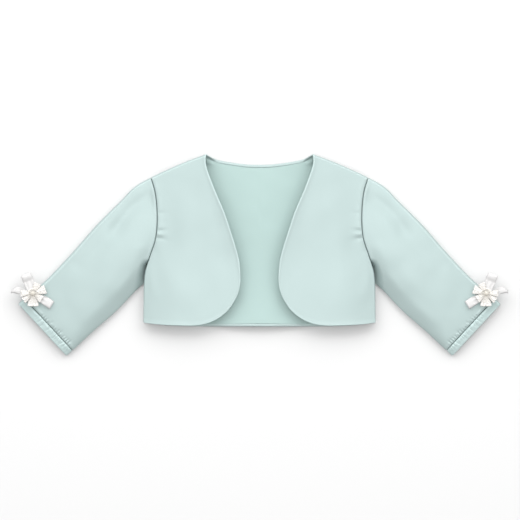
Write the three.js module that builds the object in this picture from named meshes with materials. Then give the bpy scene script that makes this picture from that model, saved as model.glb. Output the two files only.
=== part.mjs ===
// A child's bolero jacket in satin, laid on its back on a flat surface, front up.
// Millimetres. +X is to the right, +Y towards the shoulders, +Z up off the surface.
// Outlines are given for one half as [out, up]: out from the centre line, up along Y.

import * as THREE from "three";

// Cloth and seams
const WALL = 1.8; // satin, interlining and lining, as one wall
const BACK_THICK = 1.6;
const LINING_THICK = 1.2;
const SEAM_GAP = 0.3;
const FOOT = BACK_THICK + SEAM_GAP; // height at which the fronts stand on the back
const ARMHOLE_GAP = 0.2; // each side of the armhole line

// Body outline
const SHOULDER = [130, 93.5]; // outer end of the shoulder seam
const NECK = [64.2, 121.1]; // inner end of the shoulder seam
const UNDERARM = [138.7, -34];
const HEM_SIDE = [139.4, -80.5];
const HEM_UP = -85.4;
const ARMHOLE = [SHOULDER, [124.8, 75.5], [122.3, 48], [123.9, 22], [131, -0.5], [137, -18.5], UNDERARM];
const SHOULDER_LINE = [SHOULDER, [114.6, 100.8], [86, 113.2], NECK];
const BACK_NECK = [NECK, [53, 115.2], [33.4, 111.2], [0, 108.4]];
const BACK_HEM = [HEM_SIDE, [128, -82.4], [112, -84.1], [88, -85.1], [60, HEM_UP], [0, HEM_UP]];
const FRONT_HEM = [HEM_SIDE, [128, -82], [112, -83.2], [96, -83.8]];

// Front edge: from the neck down to the rounded lower corner
const FRONT_EDGE = [
  NECK,
  [64.2, 109.5],
  [57.3, 88],
  [48.4, 66.2],
  [42.2, 51.8],
  [35.1, 30.5],
  [28.2, 8.6],
  [24.3, -7],
];
const CORNER = { out: 80, up: -28, across: 57.2, down: 56, split: 0.72 }; // a quarter of an ellipse
const EDGE_ROLL = 1; // radius of the rolled edge

// Lining of the back
const LINING_SET_IN = 3.6;
const LINING_SIDE_IN = 3.2;

// Fronts: how high the cloth stands over the back
const CROWN = 13.5;
const SHOULDER_ROUND = 14;
const SIDE_ROUND = 9;
const SIDE_LEVEL = 0.72; // share of the crown reached where the rounding of the side ends
const SIDE_SLOPE = 48;
const ARMHOLE_LEVEL = 0.88; // share of the crown kept at the sleeve seam
const ARMHOLE_SLOPE = 30;
const UNDERARM_TURN = { above: 8, run: 15 }; // where the front's edge comes down to the back
const UNDERARM_SLOPE = { above: 30, run: 50 }; // where the armhole's level fades into the side's
const EDGE_LEVEL = 0.74;
const HEM_LEVEL = 0.8;
const EDGE_SLOPE = 45;
const FOLD_FADE = 14; // folds fade out over this distance to a seam

// Soft folds of the fronts: from and to are [out, up], width across, depth down
const FRONT_FOLDS = [
  { from: [116, 56], to: [106, 6], width: 9, depth: 1.0 },
  { from: [129, -52], to: [112, -78], width: 10, depth: 0.9 },
  { from: [52, 72], to: [45, 40], width: 9, depth: 0.7 },
];

// Sleeves
const SLEEVE_END = { upper: [281.8, -51.2], lower: [223.6, -114] };
const UPPER_EDGE = [
  SHOULDER,
  [149.5, 82],
  [166, 65.2],
  [193.8, 37.6],
  [226, 1.2],
  [257.6, -31.6],
  SLEEVE_END.upper,
];
const LOWER_EDGE = [UNDERARM, [146.4, -40.6], [171, -66.2], [202, -93.6], SLEEVE_END.lower];
const SLEEVE_TABLE = [
  { at: 0, height: 13.6, upperRound: 14, lowerRound: 44, cornerIn: 0.8, widest: 2 },
  { at: 0.12, height: 14.6, upperRound: 15, lowerRound: 30, cornerIn: 2.4, widest: 3.2 },
  { at: 0.4, height: 15, upperRound: 17, lowerRound: 26, cornerIn: 3, widest: 4 },
  { at: 0.75, height: 12.4, upperRound: 16, lowerRound: 24, cornerIn: 3, widest: 4 },
  { at: 0.9, height: 10.2, upperRound: 14, lowerRound: 20, cornerIn: 2.6, widest: 3.6 },
  { at: 1, height: 9.4, upperRound: 12, lowerRound: 17, cornerIn: 2.4, widest: 3.4 },
];
const RIDGE_AT = 0.36; // share of the sleeve's width, from the upper edge
const RIDGE_FALL = 0.14;

// Cuffs
const CUFF_WIDE = 10;
const CUFF_LOWER = 0.9; // how far the band lies below the sleeve's end
const CUFF_NARROWER = 0.6;

// Flower, bead and ribbon loops on each cuff
const FLOWER = { out: 271.6, up: -45.2, radius: 15.5, thick: 1.4, dome: 0.6 };
const PETALS = [20, 82, 153, 212, 270, 328]; // degrees, on the left cuff
const PETAL_NOTCH = 0.5; // radius between petals, as a share of the flower's
const PETAL_RINGS = [0.3, 0.62, 1]; // rings of the petals' top, as shares of the radius
const FLOWER_TURNS = 54; // points round a ring
const PETAL_UNDERSIDE = 14;
const HUB_RADIUS = 4.9;
const HUB_BOTTOM = 9.6;
const PEARL_RADIUS = 3.1;
const RIBBON_WALL = 1;
const BOW_MIDDLE = 12.3;
const BOW_START = 5.2;
const BOW_NEAR = 1.25; // half thickness under the petals
const BOW_SWELL = 5; // past the petals a loop swells over this distance
const BOW_RISE = 8;
const BOW_WIDEST = 0.65; // share of a loop's length
// Each loop: its direction in degrees on the left cuff, its reach from the flower's middle, its width
// near the flower, at its widest and at its fold, its half thickness at the fold, and how far it lifts
const BOW_LOOPS = [
  { name: "bow_up", turn: 111.5, reach: 24.5, near: 4.6, wide: 11.6, end: 10.6, tip: 2.3, rise: 0.8 },
  { name: "bow_out", turn: 175, reach: 26, near: 4.4, wide: 7.6, end: 2.4, tip: 1.8, rise: 0 },
  { name: "bow_in", turn: -31.7, reach: 26.5, near: 5.6, wide: 9.8, end: 9.4, tip: 2, rise: 0.5 },
];

const satin = new THREE.MeshStandardMaterial({ color: 0xc6dfdc, roughness: 0.42, metalness: 0 });
const lining = new THREE.MeshStandardMaterial({ color: 0xc2e0dc, roughness: 0.5, metalness: 0 });
const ribbon = new THREE.MeshStandardMaterial({ color: 0xf4f2ee, roughness: 0.35, metalness: 0 });
const lace = new THREE.MeshStandardMaterial({ color: 0xf6f1e6, roughness: 0.75, metalness: 0 });
const pearl = new THREE.MeshStandardMaterial({ color: 0xefe6d4, roughness: 0.2, metalness: 0 });

// A smooth curve through [out, up] points; at(share) is a point at that share of its length.
function lane(points) {
  const curve = new THREE.CatmullRomCurve3(
    points.map(([out, up]) => new THREE.Vector3(out, up, 0)),
    false,
    "centripetal",
  );
  return { at: (share) => curve.getPointAt(THREE.MathUtils.clamp(share, 0, 1)), length: curve.getLength() };
}

function cornerPoint(share) {
  const angle = (share * Math.PI) / 2;
  return [CORNER.out - CORNER.across * Math.sin(angle), CORNER.up - CORNER.down * Math.cos(angle)];
}

// The front's edge and hem meet on the rounded corner.
function cornerPoints(from, to, count) {
  return Array.from({ length: count + 1 }, (_, i) => cornerPoint(from + ((to - from) * i) / count));
}

const bodyEdge = lane([...ARMHOLE, [139.1, -57], HEM_SIDE]);
const shoulderLane = lane(SHOULDER_LINE);
const hemLane = lane([...FRONT_HEM, ...cornerPoints(0, CORNER.split, 4)]);
const frontLane = lane([...FRONT_EDGE, ...cornerPoints(1, CORNER.split, 3)]);

// The share of the body's edge that is armhole
function shareAtUp(line, up) {
  let low = 0;
  let high = 1;
  for (let i = 0; i < 40; i++) {
    const middle = (low + high) / 2;
    if (line.at(middle).y > up) low = middle;
    else high = middle;
  }
  return low;
}
const armholeShare = shareAtUp(bodyEdge, UNDERARM[1]);

const { lerp } = THREE.MathUtils;
const ease = (x) => THREE.MathUtils.smoothstep(x, 0, 1);
// A quarter round: steep at 0 and level from 1 on
const round = (x) => (x >= 1 ? 1 : Math.sqrt(Math.max(0, 1 - (1 - x) ** 2)));

// Steps round a quarter circle, from 0 to 1
const quarter = (share) => 1 - Math.cos((share * Math.PI) / 2);

// A patch between four lanes: a and c run across, b and d run down.
function patch(a, b, c, d) {
  const corners = [a(0), a(1), c(0), c(1)];
  return (across, down) => {
    const p = new THREE.Vector3();
    p.addScaledVector(a(across), 1 - down).addScaledVector(c(across), down);
    p.addScaledVector(b(down), 1 - across).addScaledVector(d(down), across);
    const shares = [(1 - across) * (1 - down), across * (1 - down), (1 - across) * down, across * down];
    corners.forEach((corner, i) => p.addScaledVector(corner, -shares[i]));
    return p;
  };
}

// Shares from 0 to 1: close together in the first stretch, even after it, with one short step at the end
function graded(first, firstSteps, steps, last) {
  const shares = [];
  for (let i = 0; i < firstSteps; i++) shares.push(first * quarter(i / firstSteps));
  for (let i = 0; i <= steps; i++) shares.push(first + ((1 - last - first) * i) / steps);
  if (last > 0) shares.push(1);
  return shares;
}

// A closed body from positions and faces, turned so that its faces point out
function closedBody(points, faces) {
  const position = new Float32Array(points.length * 3);
  points.forEach((p, i) => p.toArray(position, i * 3));
  let volume = 0;
  const cross = new THREE.Vector3();
  for (const [a, b, c] of faces) volume += points[a].dot(cross.crossVectors(points[b], points[c]));
  const index = faces.flatMap(([a, b, c]) => (volume > 0 ? [a, b, c] : [a, c, b]));
  const geometry = new THREE.BufferGeometry();
  geometry.setAttribute("position", new THREE.BufferAttribute(position, 3));
  geometry.setIndex(index);
  geometry.computeVertexNormals();
  return geometry;
}

const quad = (a, b, c, d) => [
  [a, b, c],
  [a, c, d],
];

// A closed band of rings: each ring is a closed loop of points, and the last ring joins the first.
function ringBody(rings) {
  const size = rings[0].length;
  const faces = [];
  rings.forEach((ring, i) => {
    const next = ((i + 1) % rings.length) * size;
    for (let k = 0; k < size; k++) {
      const after = (k + 1) % size;
      faces.push(...quad(i * size + k, i * size + after, next + after, next + k));
    }
  });
  return closedBody(rings.flat(), faces);
}

// A tube with a wall: outer rings one way, inner rings back
const tubeWall = (outer, inner) => ringBody([...outer, ...[...inner].reverse()]);

// A curved sheet with a wall. Both grids are [row][column]. Where an edge is free, it is rolled:
// its outermost point lies halfway down the wall, pushed out by the roll.
function sheetWall(outer, inner, rollAt) {
  const rows = outer.length;
  const columns = outer[0].length;
  const points = [...outer.flat(), ...inner.flat()];
  const faces = [];
  const at = (row, column) => row * columns + column;
  const under = rows * columns;
  for (let r = 0; r + 1 < rows; r++)
    for (let c = 0; c + 1 < columns; c++) {
      faces.push(...quad(at(r, c), at(r, c + 1), at(r + 1, c + 1), at(r + 1, c)));
      const below = [at(r, c), at(r + 1, c), at(r + 1, c + 1), at(r, c + 1)].map((corner) => under + corner);
      faces.push(...quad(...below));
    }
  const border = [];
  for (let c = 0; c + 1 < columns; c++) border.push([0, c]);
  for (let r = 0; r + 1 < rows; r++) border.push([r, columns - 1]);
  for (let c = columns - 1; c > 0; c--) border.push([rows - 1, c]);
  for (let r = rows - 1; r > 0; r--) border.push([r, 0]);
  const heart = outer[rows >> 1][columns >> 1];
  const rim = border.map(([r, c], i) => {
    const [beforeRow, beforeColumn] = border[(i + border.length - 1) % border.length];
    const [afterRow, afterColumn] = border[(i + 1) % border.length];
    const along = outer[afterRow][afterColumn].clone().sub(outer[beforeRow][beforeColumn]);
    const away = new THREE.Vector3(along.y, -along.x, 0).normalize();
    const middle = outer[r][c].clone().lerp(inner[r][c], 0.5);
    if (away.dot(middle.clone().sub(heart)) < 0) away.negate();
    return points.push(middle.addScaledVector(away, rollAt(r, c))) - 1;
  });
  border.forEach(([r, c], i) => {
    const [nextRow, nextColumn] = border[(i + 1) % border.length];
    const nextRim = rim[(i + 1) % border.length];
    faces.push(...quad(at(nextRow, nextColumn), at(r, c), rim[i], nextRim));
    faces.push(...quad(nextRim, rim[i], under + at(r, c), under + at(nextRow, nextColumn)));
  });
  return closedBody(points, faces);
}

const mirrored = (side, p) => new THREE.Vector3(side * p.x, p.y, p.z);

// Depth of the soft folds at a point of a front
function foldDepth(p) {
  let depth = 0;
  const nearest = new THREE.Vector3();
  for (const fold of FRONT_FOLDS) {
    const line = new THREE.Line3(new THREE.Vector3(...fold.from, 0), new THREE.Vector3(...fold.to, 0));
    const flat = new THREE.Vector3(p.x, p.y, 0);
    line.closestPointToPoint(flat, true, nearest);
    depth += fold.depth * Math.exp(-((flat.distanceTo(nearest) / fold.width) ** 2));
  }
  return depth;
}

const frontPlan = patch(
  (s) => shoulderLane.at(s),
  (t) => bodyEdge.at(t).add(new THREE.Vector3(-ARMHOLE_GAP, 0, 0)),
  (s) => hemLane.at(s),
  (t) => frontLane.at(t),
);

// Outer surface of a front at shares across (side to front edge) and down (shoulder to hem)
function frontPoint(across, down) {
  const p = frontPlan(across, down);
  const side = bodyEdge.at(down);
  const fromSide = p.distanceTo(side);
  const fromEdge = p.distanceTo(frontLane.at(down));
  const fromShoulder = p.distanceTo(shoulderLane.at(across));
  const fromHem = p.distanceTo(hemLane.at(across));
  const seamFoot = ease((UNDERARM[1] + UNDERARM_TURN.above - side.y) / UNDERARM_TURN.run);
  const belowArm = ease((UNDERARM[1] + UNDERARM_SLOPE.above - side.y) / UNDERARM_SLOPE.run);
  const atArmhole = lerp(ARMHOLE_LEVEL, 1, ease(fromSide / ARMHOLE_SLOPE));
  const atSide = lerp(SIDE_LEVEL, 1, ease(fromSide / SIDE_SLOPE));
  const rise =
    lerp(atArmhole, atSide, belowArm) *
    lerp(1, round(fromSide / SIDE_ROUND), seamFoot) *
    round(fromShoulder / SHOULDER_ROUND) *
    lerp(EDGE_LEVEL, 1, ease(fromEdge / EDGE_SLOPE)) *
    lerp(HEM_LEVEL, 1, ease(fromHem / EDGE_SLOPE));
  const soft = ease(Math.min(fromSide, fromShoulder) / FOLD_FADE);
  p.z = FOOT + CROWN * rise - foldDepth(p) * soft;
  return p;
}

// The inner point is the outer one moved back by the wall, square to the cloth.
function frontInner(across, down, outer) {
  const step = 2e-4; // share of the panel, small enough to see the steep start of a rounding
  const a = frontPoint(Math.min(1, across + step), down).sub(frontPoint(Math.max(0, across - step), down));
  const b = frontPoint(across, Math.min(1, down + step)).sub(frontPoint(across, Math.max(0, down - step)));
  const normal = new THREE.Vector3().crossVectors(a, b).normalize();
  if (normal.z < 0) normal.negate();
  const inner = outer.clone().addScaledVector(normal, -WALL);
  inner.z = Math.max(inner.z, FOOT);
  return inner;
}

function front(side) {
  const across = graded(0.1, 5, 12, 0.02);
  const down = graded(0.08, 5, 18, 0.015);
  const outer = down.map((t) => across.map((s) => frontPoint(s, t)));
  const inner = down.map((t, r) => across.map((s, c) => frontInner(s, t, outer[r][c])));
  const rollAt = (r, c) => {
    const free = c === across.length - 1 || r === down.length - 1;
    return free ? EDGE_ROLL * ease((outer[r][c].z - FOOT) / 4) : 0;
  };
  const turn = (grid) => grid.map((row) => row.map((p) => mirrored(side, p)));
  return sheetWall(turn(outer), turn(inner), rollAt);
}

// A flat panel of cloth with rounded edges, from an outline and its mirror image
function flatPanel(half, bottom, thick) {
  const right = half.map((p) => new THREE.Vector2(p.x, p.y));
  const left = half.slice(1, -1).map((p) => new THREE.Vector2(-p.x, p.y));
  const outline = [...right, ...left.reverse()];
  const bevel = thick / 4;
  const geometry = new THREE.ExtrudeGeometry(new THREE.Shape(outline), {
    depth: thick - 2 * bevel,
    bevelEnabled: true,
    bevelThickness: bevel,
    bevelSize: bevel,
    bevelOffset: -bevel,
    bevelSegments: 1,
  });
  return geometry.translate(0, 0, bottom + bevel);
}

// Half outline of the back, from the middle of the neck out and round to the middle of the hem.
// Each stretch is moved in by its own amount, square to the outline.
function backHalf(neckIn, sideIn, hemIn) {
  const stretches = [
    { line: lane([...BACK_NECK].reverse()), steps: 9, setIn: neckIn },
    { line: lane(SHOULDER_LINE.toReversed()), steps: 5, setIn: sideIn },
    { line: bodyEdge, steps: 26, setIn: sideIn },
    { line: lane(BACK_HEM), steps: 12, setIn: hemIn },
  ];
  const outline = stretches.flatMap(({ line, steps, setIn }) =>
    Array.from({ length: steps }, (_, i) => ({ p: line.at(i / steps), setIn })),
  );
  outline.push({ p: stretches.at(-1).line.at(1), setIn: hemIn });
  return outline.map(({ p, setIn }, i) => {
    if (i === 0) return new THREE.Vector3(0, p.y - setIn, 0);
    if (i === outline.length - 1) return new THREE.Vector3(0, p.y + setIn, 0);
    const along = new THREE.Vector3().subVectors(outline[i + 1].p, outline[i - 1].p).normalize();
    return p.clone().add(new THREE.Vector3(along.y, -along.x, 0).multiplyScalar(setIn));
  });
}

// Sleeve sizes at a share of its length
function sleeveAt(share) {
  const next = Math.max(1, SLEEVE_TABLE.findIndex((row) => row.at >= share));
  const low = SLEEVE_TABLE[next - 1];
  const high = SLEEVE_TABLE[next];
  const mix = ease((share - low.at) / (high.at - low.at));
  return Object.fromEntries(Object.keys(low).map((key) => [key, lerp(low[key], high[key], mix)]));
}

// A tube's section across its width: [across, height] points from the upper edge over the top and back
// along the floor
function section(width, size) {
  const ring = [];
  const top = (x) => {
    const share = x / width;
    const fall = share > RIDGE_AT ? RIDGE_FALL * ((share - RIDGE_AT) / (1 - RIDGE_AT)) ** 2 : 0;
    const full = round(x / size.upperRound) * round((width - x) / size.lowerRound) * (1 - fall);
    return size.widest + (size.height - size.widest) * full;
  };
  const edgeSteps = 5;
  const topSteps = 7;
  const innerStart = size.upperRound;
  const innerEnd = width - size.lowerRound;
  for (let i = 0; i < edgeSteps; i++) ring.push(size.upperRound * quarter(i / edgeSteps));
  for (let i = 0; i < topSteps; i++) ring.push(innerStart + ((innerEnd - innerStart) * i) / topSteps);
  for (let i = 0; i <= edgeSteps; i++) ring.push(width - size.lowerRound * quarter(1 - i / edgeSteps));
  const upper = ring.map((x) => [x, top(x)]);
  const cornerSteps = 3;
  const floorSteps = 12;
  const lower = [];
  for (let i = 1; i <= cornerSteps; i++) {
    const angle = (i / cornerSteps) * (Math.PI / 2);
    lower.push([size.cornerIn * (1 - Math.cos(angle)), size.widest * (1 - Math.sin(angle))]);
  }
  const far = lower.map(([x, z]) => [width - x, z]);
  const floor = [];
  for (let i = 1; i < floorSteps; i++)
    floor.push([width - size.cornerIn - ((width - 2 * size.cornerIn) * i) / floorSteps, 0]);
  return [...upper, ...far, ...floor, ...lower.reverse()];
}

// The section moved in by the wall
function innerSection(ring, wall) {
  return ring.map(([x, z], i) => {
    const [beforeX, beforeZ] = ring[(i + ring.length - 1) % ring.length];
    const [afterX, afterZ] = ring[(i + 1) % ring.length];
    const along = new THREE.Vector2(afterX - beforeX, afterZ - beforeZ).normalize();
    return [x + along.y * wall, z - along.x * wall];
  });
}

const cuffSeam = lane([SLEEVE_END.upper, SLEEVE_END.lower]);
const upperLane = lane(UPPER_EDGE);
const lowerLane = lane(LOWER_EDGE);
const gapped = (p, gap) => p.add(new THREE.Vector3(gap, 0, 0));
const sleevePlan = patch(
  (s) => gapped(bodyEdge.at(s * armholeShare), ARMHOLE_GAP),
  (t) => gapped(upperLane.at(t), ARMHOLE_GAP),
  (s) => gapped(cuffSeam.at(s), ARMHOLE_GAP),
  (t) => gapped(lowerLane.at(t), ARMHOLE_GAP),
);

function planWidth(plan, share) {
  let width = 0;
  for (let i = 0; i < 20; i++) width += plan(i / 20, share).distanceTo(plan((i + 1) / 20, share));
  return width;
}

// A cloth tube over a plan: one section for each share of its length
function clothTube(side, plan, shares, sizeAt) {
  const outer = [];
  const inner = [];
  for (const share of shares) {
    const width = planWidth(plan, share);
    const ring = section(width, sizeAt(share));
    const place = ([x, z]) => mirrored(side, plan(x / width, share).setZ(z));
    outer.push(ring.map(place));
    inner.push(innerSection(ring, WALL).map(place));
  }
  return tubeWall(outer, inner);
}

function sleeve(side) {
  const steps = 18;
  const shares = Array.from({ length: steps + 1 }, (_, i) => i / steps);
  return clothTube(side, sleevePlan, shares, sleeveAt);
}

// The cuff is a straight band in line with the sleeve's end.
function cuff(side) {
  const along = new THREE.Vector3().subVectors(cuffSeam.at(1), cuffSeam.at(0)).normalize();
  const away = new THREE.Vector3(-along.y, along.x, 0);
  const plan = (across, share) =>
    gapped(cuffSeam.at(across), ARMHOLE_GAP)
      .addScaledVector(along, (0.5 - across) * CUFF_NARROWER)
      .addScaledVector(away, SEAM_GAP + share * (CUFF_WIDE - SEAM_GAP));
  const size = sleeveAt(1);
  size.height -= CUFF_LOWER;
  return clothTube(side, plan, [0, 0.5, 1], () => size);
}

// Petal outline: the flower's radius at an angle in degrees
function petalRadius(angle) {
  const turn = (a, b) => Math.abs(((a - b + 540) % 360) - 180);
  const order = [...PETALS].sort((a, b) => turn(angle, a) - turn(angle, b));
  const off = turn(angle, order[0]);
  const half = (off + turn(angle, order[1])) / 2;
  const share = Math.min(1, off / half); // 0 along a petal's middle, 1 between two petals
  const tip = 1 - 0.05 * Math.exp(-((share / 0.16) ** 2)); // a small notch in the petal's end
  const side = 1 - ease((share - 0.72) / 0.26);
  return FLOWER.radius * (PETAL_NOTCH + (tip - PETAL_NOTCH) * side);
}

// One body: petals over a hub that reaches down to the sleeve
function flower(side) {
  const ring = (radiusAt, height) =>
    Array.from({ length: FLOWER_TURNS }, (_, k) => {
      const degrees = (k / FLOWER_TURNS) * 360;
      const turn = degrees * THREE.MathUtils.DEG2RAD;
      const radius = radiusAt(degrees);
      const x = FLOWER.out - radius * Math.cos(turn);
      return mirrored(side, new THREE.Vector3(x, FLOWER.up + radius * Math.sin(turn), height));
    });
  const topAt = (share) => PETAL_UNDERSIDE + FLOWER.thick + FLOWER.dome * Math.sin(share * Math.PI);
  const rings = PETAL_RINGS.map((share) => ring((degrees) => petalRadius(degrees) * share, topAt(share)));
  rings.push(ring(petalRadius, PETAL_UNDERSIDE));
  rings.push(ring(() => HUB_RADIUS, PETAL_UNDERSIDE));
  rings.push(ring(() => HUB_RADIUS, HUB_BOTTOM));
  return capped(rings);
}

// A closed body of rings with a middle point at each end
function capped(rings) {
  const size = rings[0].length;
  const points = rings.flat();
  const faces = [];
  for (let i = 0; i + 1 < rings.length; i++)
    for (let k = 0; k < size; k++) {
      const after = (k + 1) % size;
      faces.push(...quad(i * size + k, i * size + after, (i + 1) * size + after, (i + 1) * size + k));
    }
  const middleOf = (ring) => ring.reduce((sum, p) => sum.add(p), new THREE.Vector3()).divideScalar(size);
  const first = points.push(middleOf(rings[0])) - 1;
  const last = points.push(middleOf(rings.at(-1))) - 1;
  const lastRing = (rings.length - 1) * size;
  for (let k = 0; k < size; k++) {
    const after = (k + 1) % size;
    faces.push([after, k, first]);
    faces.push([lastRing + k, lastRing + after, last]);
  }
  return closedBody(points, faces);
}

// A ribbon loop: a flattened ring of ribbon from the flower's hub to its fold
function bowLoop(side, loop) {
  const profile = (inset) => {
    const start = BOW_START + inset;
    const end = loop.reach - inset;
    const half = (r) => {
      const body = lerp(BOW_NEAR, loop.tip, ease((r - FLOWER.radius) / BOW_SWELL)) - inset;
      return body * round((end - r) / (loop.tip - inset));
    };
    const shares = [0, 0.3, 0.55, 0.8, 0.9, 0.97];
    const top = shares.map((share) => [start + (end - start) * share, half(start + (end - start) * share)]);
    const bottom = [...top].reverse().map(([r, z]) => [r, -z]);
    return [...top, [end, 0], ...bottom];
  };
  const place = ([r, z], across) => {
    const share = (r - BOW_START) / (loop.reach - BOW_START);
    const toEnd = ease((share - BOW_WIDEST) / (1 - BOW_WIDEST));
    const half = lerp(lerp(loop.near, loop.wide, ease(share / BOW_WIDEST)), loop.end, toEnd) / 2;
    const local = new THREE.Vector3(r, across * half, 0);
    local.applyAxisAngle(new THREE.Vector3(0, 0, 1), loop.turn * THREE.MathUtils.DEG2RAD);
    const height = BOW_MIDDLE + z + loop.rise * ease((r - FLOWER.radius) / BOW_RISE);
    return mirrored(side, new THREE.Vector3(FLOWER.out - local.x, FLOWER.up + local.y, height));
  };
  const widths = [-1, 0, 1];
  const outer = widths.map((across) => profile(0).map((p) => place(p, across)));
  const inner = widths.map((across) => profile(RIBBON_WALL).map((p) => place(p, across)));
  return tubeWall(outer, inner);
}

function bead(side) {
  const geometry = new THREE.SphereGeometry(PEARL_RADIUS, 14, 10);
  geometry.rotateX(Math.PI / 2);
  const height = PETAL_UNDERSIDE + FLOWER.thick + FLOWER.dome + SEAM_GAP + PEARL_RADIUS;
  return geometry.translate(side * FLOWER.out, FLOWER.up, height);
}

const group = new THREE.Group();
function add(name, geometry, material) {
  const mesh = new THREE.Mesh(geometry, material.clone());
  mesh.name = name;
  group.add(mesh);
}

add("back", flatPanel(backHalf(0, ARMHOLE_GAP, 0), 0, BACK_THICK), satin);
const liningHalf = backHalf(LINING_SET_IN, LINING_SIDE_IN, LINING_SET_IN);
add("back_lining", flatPanel(liningHalf, FOOT, LINING_THICK), lining);
for (const [label, side] of [
  ["left", -1],
  ["right", 1],
]) {
  add(`front_${label}`, front(side), satin);
  add(`sleeve_${label}`, sleeve(side), satin);
  add(`cuff_${label}`, cuff(side), satin);
  add(`flower_${label}`, flower(side), lace);
  add(`pearl_${label}`, bead(side), pearl);
  for (const loop of BOW_LOOPS) add(`${loop.name}_${label}`, bowLoop(side, loop), ribbon);
}

// The origin is on the surface, under the middle of the whole garment.
const box = new THREE.Box3().setFromObject(group);
group.position.set(0, -(box.min.y + box.max.y) / 2, -box.min.z);

export default group;
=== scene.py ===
import math

import bmesh
import bpy
import numpy as np
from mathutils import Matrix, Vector


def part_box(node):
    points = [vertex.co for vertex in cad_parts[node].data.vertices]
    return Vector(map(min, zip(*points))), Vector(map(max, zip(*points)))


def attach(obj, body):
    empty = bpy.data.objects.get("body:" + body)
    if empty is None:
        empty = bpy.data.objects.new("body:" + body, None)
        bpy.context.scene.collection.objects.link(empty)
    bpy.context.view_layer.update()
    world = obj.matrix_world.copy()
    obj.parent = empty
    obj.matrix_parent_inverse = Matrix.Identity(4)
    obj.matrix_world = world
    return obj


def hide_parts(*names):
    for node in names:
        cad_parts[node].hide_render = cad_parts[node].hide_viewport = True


# A child's satin bolero, laid on its back on a pale table, front up.
# Tables are in millimetres, and their shares and levels run from 0 to 1: out is the distance from the
# centre line, up is along Y, and rise is along Z. Points are turned into metres when a piece gets its
# mesh. In a table, run, fade and width say how far an effect reaches, and deep, rise and fall how
# strong it is.
MM = 0.001
SIDES = {"left": -1, "right": 1}

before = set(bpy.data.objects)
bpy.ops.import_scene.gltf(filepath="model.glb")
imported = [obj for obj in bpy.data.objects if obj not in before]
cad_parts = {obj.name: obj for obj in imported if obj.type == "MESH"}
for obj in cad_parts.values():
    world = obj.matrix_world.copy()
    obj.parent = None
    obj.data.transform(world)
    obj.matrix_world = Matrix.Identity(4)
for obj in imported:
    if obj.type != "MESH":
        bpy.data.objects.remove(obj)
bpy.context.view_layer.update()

# Cloth and seams
WALL = 1.8
BACK_THICK = 1.6
LINING_THICK = 1.2
FOOT = 1.9
ARMHOLE_GAP = 0.2
SEAM_GAP = 0.3

# Body outline
SHOULDER = (130, 93.5)
NECK = (64.2, 121.1)
UNDERARM = (138.7, -34)
HEM_SIDE = (139.4, -80.5)
HEM_UP = -85.4
ARMHOLE = [SHOULDER, (124.8, 75.5), (122.3, 48), (123.9, 22), (131, -0.5), (137, -18.5), UNDERARM]
BODY_EDGE = [*ARMHOLE, (139.1, -57), HEM_SIDE]
SHOULDER_LINE = [SHOULDER, (114.6, 100.8), (86, 113.2), NECK]
BACK_NECK = [NECK, (53, 115.2), (33.4, 111.2), (14, 108.8), (0, 108.4)]
BACK_HEM = [HEM_SIDE, (128, -82.4), (112, -84.1), (88, -85.1), (60, HEM_UP), (0, HEM_UP)]
FRONT_HEM = [HEM_SIDE, (128, -82), (112, -83.2), (96, -83.8)]
FRONT_EDGE = [
    NECK, (64.2, 109.5), (57.3, 88), (48.4, 66.2), (42.2, 51.8), (35.1, 30.5), (28.2, 8.6), (24.3, -7),
]
CORNER = {"out": 80, "up": -28, "across": 57.2, "down": 56, "split": 0.72}
LINING_SET_IN = 3.6
LINING_SIDE_IN = 3.2

# How high the fronts stand over the back
CROWN = 13.5
SHOULDER_ROUND = 3.4
SHOULDER_FALL = {"level": 0.95, "run": 20}
SIDE_ROUND = 1.5
SIDE_LEVEL = 0.7
SIDE_SLOPE = 48
ARMHOLE_LEVEL = {"high": 0.93, "low": 0.78, "above": 62, "run": 34}
ARMHOLE_SLOPE = 46
UNDERARM_TURN = {"above": 32, "run": 13}
UNDERARM_SLOPE = {"above": 75, "run": 60}
EDGE_LEVEL = 0.98
HEM_LEVEL = 0.97
EDGE_SLOPE = 45
FOLD_FADE = 10
FOLD_SWELL = {"ends": 0.72, "middle": 0.28, "early": 0.8}
RIPPLE_WAVES = {"shortest": 26, "longest": 60}
EDGE_STAND = {"rise": 4.4, "run": 78, "power": 1.5, "below": 62, "fade": 96}

# Soft folds of the fronts: a rise below 0 is a trough. Puckers run in from the sleeve seam.
FRONT_RIPPLES = {"seed": 11, "size": 0.25}
FRONT_FOLDS = [
    {"start": (109, 34), "end": (104, -16), "width": 12, "rise": -0.35, "bow": 3},
    {"start": (60, 76), "end": (50, 36), "width": 10, "rise": -0.3, "bow": 1},
    {"start": (104, -6), "end": (84, -52), "width": 13, "rise": 0.3, "bow": 4},
    {"start": (98, 92), "end": (74, 66), "width": 12, "rise": -0.25, "bow": -3},
    {"start": (133, -12), "end": (126, -46), "width": 7, "rise": 0.3, "bow": 1},
]
PUCKERS = [
    {"start": (124, 29.2), "end": (109, 31.5), "width": 1.6, "rise": -1.1, "bow": 0.4, "fade": 0.9},
    {"start": (124, 25.2), "end": (110, 25.4), "width": 1.9, "rise": 0.65, "bow": 0.3, "fade": 0.8},
    {"start": (124, 20.8), "end": (107, 17.5), "width": 1.9, "rise": -0.85, "bow": -0.4, "fade": 0.9},
    {"start": (123, 50.4), "end": (109, 52), "width": 2.3, "rise": -0.4, "bow": 0.5, "fade": 0.7},
    {"start": (123, 39.8), "end": (112, 41), "width": 1.9, "rise": -0.2, "bow": 0.2, "fade": 0.8},
    {"start": (124.4, 71), "end": (116, 74), "width": 2.2, "rise": -0.14, "bow": 0.2, "fade": 0.7},
    {"start": (128, 7.5), "end": (119, 1), "width": 2.6, "rise": -0.2, "bow": 0.4, "fade": 0.8},
]
PUCKER_FADE = 2.5
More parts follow.
